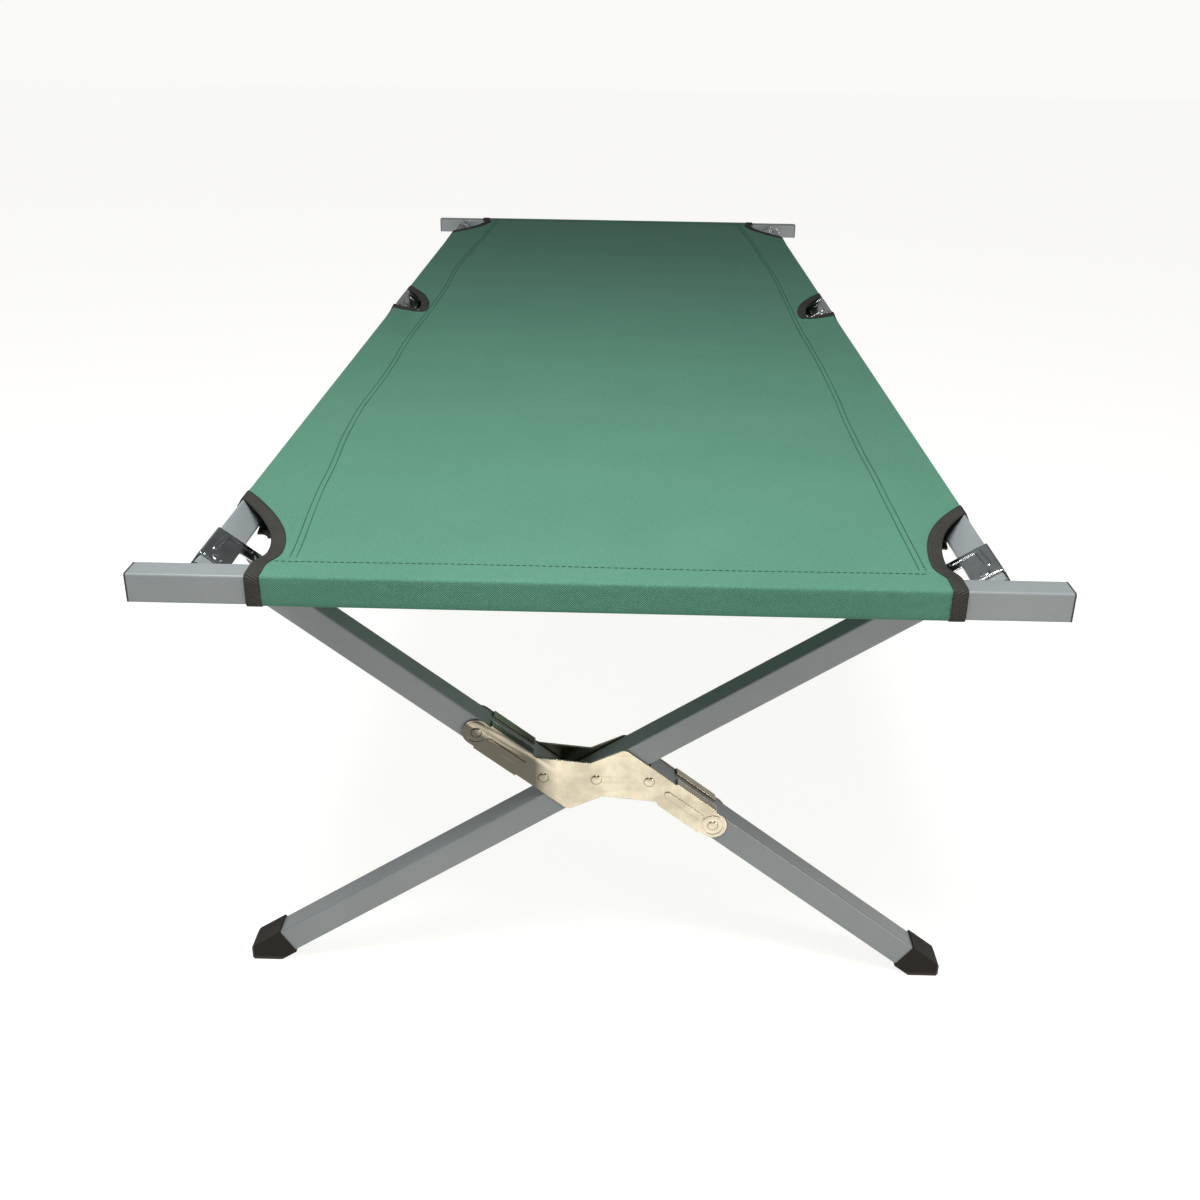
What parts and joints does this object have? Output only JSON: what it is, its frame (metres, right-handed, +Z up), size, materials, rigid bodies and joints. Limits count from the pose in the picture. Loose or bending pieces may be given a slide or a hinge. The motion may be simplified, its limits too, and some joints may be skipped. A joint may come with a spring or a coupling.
{
  "type": "folding cot",
  "caption": "Folding camp bed: cloth stretched over square-tube side rails and end bars, on crossed legs that scissor shut.",
  "frame": {"origin": "on the floor under the middle of the cot's bounding box", "axes": "+X to the cot's right, +Y along the cot from front to rear, +Z up"},
  "size_m": [0.74, 1.9022, 0.4395],
  "materials": {
    "painted_tube": "satin light blue-grey paint on steel tube",
    "zinc": "bright zinc plate on pressed steel",
    "cloth": "matte woven green cloth",
    "foot_plastic": "dark brown-black moulded plastic",
    "plug_plastic": "black moulded plastic"
  },
  "bodies": {
    "right_frame": {"cover": "cloth", "left_mid_foot": "foot_plastic", "mid_straight_leg": "painted_tube", "right_bracket_rivets": "zinc", "right_front_bracket": "zinc", "right_front_leg_pivot": "zinc", "right_front_rail_plug": "plug_plastic", "right_mid_bracket": "zinc", "right_mid_leg_pivot": "zinc", "right_rail_front": "painted_tube", "right_rail_rear": "painted_tube", "right_rear_bracket": "zinc", "right_rear_leg_pivot": "zinc", "right_rear_rail_plug": "plug_plastic"},
    "left_frame": {"left_bracket_rivets": "zinc", "left_front_bracket": "zinc", "left_front_leg_pivot": "zinc", "left_front_rail_plug": "plug_plastic", "left_mid_bracket": "zinc", "left_mid_leg_pivot": "zinc", "left_rail_front": "painted_tube", "left_rail_rear": "painted_tube", "left_rear_bracket": "zinc", "left_rear_leg_pivot": "zinc", "left_rear_rail_plug": "plug_plastic", "mid_centre_rivet": "zinc", "mid_cranked_leg_lower": "painted_tube", "mid_cranked_leg_upper": "painted_tube", "mid_cross_plate_back": "zinc", "mid_cross_plate_front": "zinc", "mid_plate_rivets": "zinc", "right_mid_foot": "foot_plastic"},
    "front_straight_leg": {"front_straight_leg": "painted_tube", "left_front_foot": "foot_plastic"},
    "front_cranked_leg": {"front_centre_rivet": "zinc", "front_cranked_leg_lower": "painted_tube", "front_cranked_leg_upper": "painted_tube", "front_cross_plate_back": "zinc", "front_cross_plate_front": "zinc", "front_plate_rivets": "zinc", "right_front_foot": "foot_plastic"},
    "rear_straight_leg": {"left_rear_foot": "foot_plastic", "rear_straight_leg": "painted_tube"},
    "rear_cranked_leg": {"rear_centre_rivet": "zinc", "rear_cranked_leg_lower": "painted_tube", "rear_cranked_leg_upper": "painted_tube", "rear_cross_plate_back": "zinc", "rear_cross_plate_front": "zinc", "rear_plate_rivets": "zinc", "right_rear_foot": "foot_plastic"},
    "front_bar": {"front_bar": "painted_tube", "front_bar_plugs": "plug_plastic"},
    "rear_bar": {"rear_bar": "painted_tube", "rear_bar_plugs": "plug_plastic"}
  },
  "joints": [
    {"name": "frame_fold", "type": "hinge", "parent": "right_frame", "child": "left_frame", "pos_m": [0, 0.103, 0.21216], "axis": [0, 1, 0], "range_deg": [0, 103], "deforming": ["cover"]},
    {"name": "front_leg_swing", "type": "hinge", "parent": "right_frame", "child": "front_straight_leg", "pos_m": [0.29484, -0.861, 0.40364], "axis": [0.5446, 0, -0.8387], "range_deg": [0, 91]},
    {"name": "front_crossing", "type": "hinge", "parent": "front_straight_leg", "child": "front_cranked_leg", "pos_m": [0, -0.861, 0.21216], "axis": [0, 1, 0], "range_deg": [0, 109]},
    {"name": "front_bar_pull", "type": "slide", "parent": "right_frame", "child": "front_bar", "axis": [0, -1, 0], "range_m": [0, 0.26]},
    {"name": "rear_leg_swing", "type": "hinge", "parent": "right_frame", "child": "rear_straight_leg", "pos_m": [0.29484, 0.875, 0.40364], "axis": [-0.5446, 0, 0.8387], "range_deg": [0, 91]},
    {"name": "rear_crossing", "type": "hinge", "parent": "rear_straight_leg", "child": "rear_cranked_leg", "pos_m": [0, 0.875, 0.21216], "axis": [0, 1, 0], "range_deg": [0, 109]},
    {"name": "rear_bar_pull", "type": "slide", "parent": "right_frame", "child": "rear_bar", "axis": [0, 1, 0], "range_m": [0, 0.26]}
  ],
  "couplings": [
    {"joint": "front_leg_swing", "follows": "frame_fold", "ratio": 0.8738},
    {"joint": "front_crossing", "follows": "frame_fold", "ratio": 1.053},
    {"joint": "front_bar_pull", "follows": "frame_fold", "m_per_rad": 0.1391},
    {"joint": "rear_leg_swing", "follows": "frame_fold", "ratio": 0.8738},
    {"joint": "rear_crossing", "follows": "frame_fold", "ratio": 1.053},
    {"joint": "rear_bar_pull", "follows": "frame_fold", "m_per_rad": 0.1391}
  ]
}
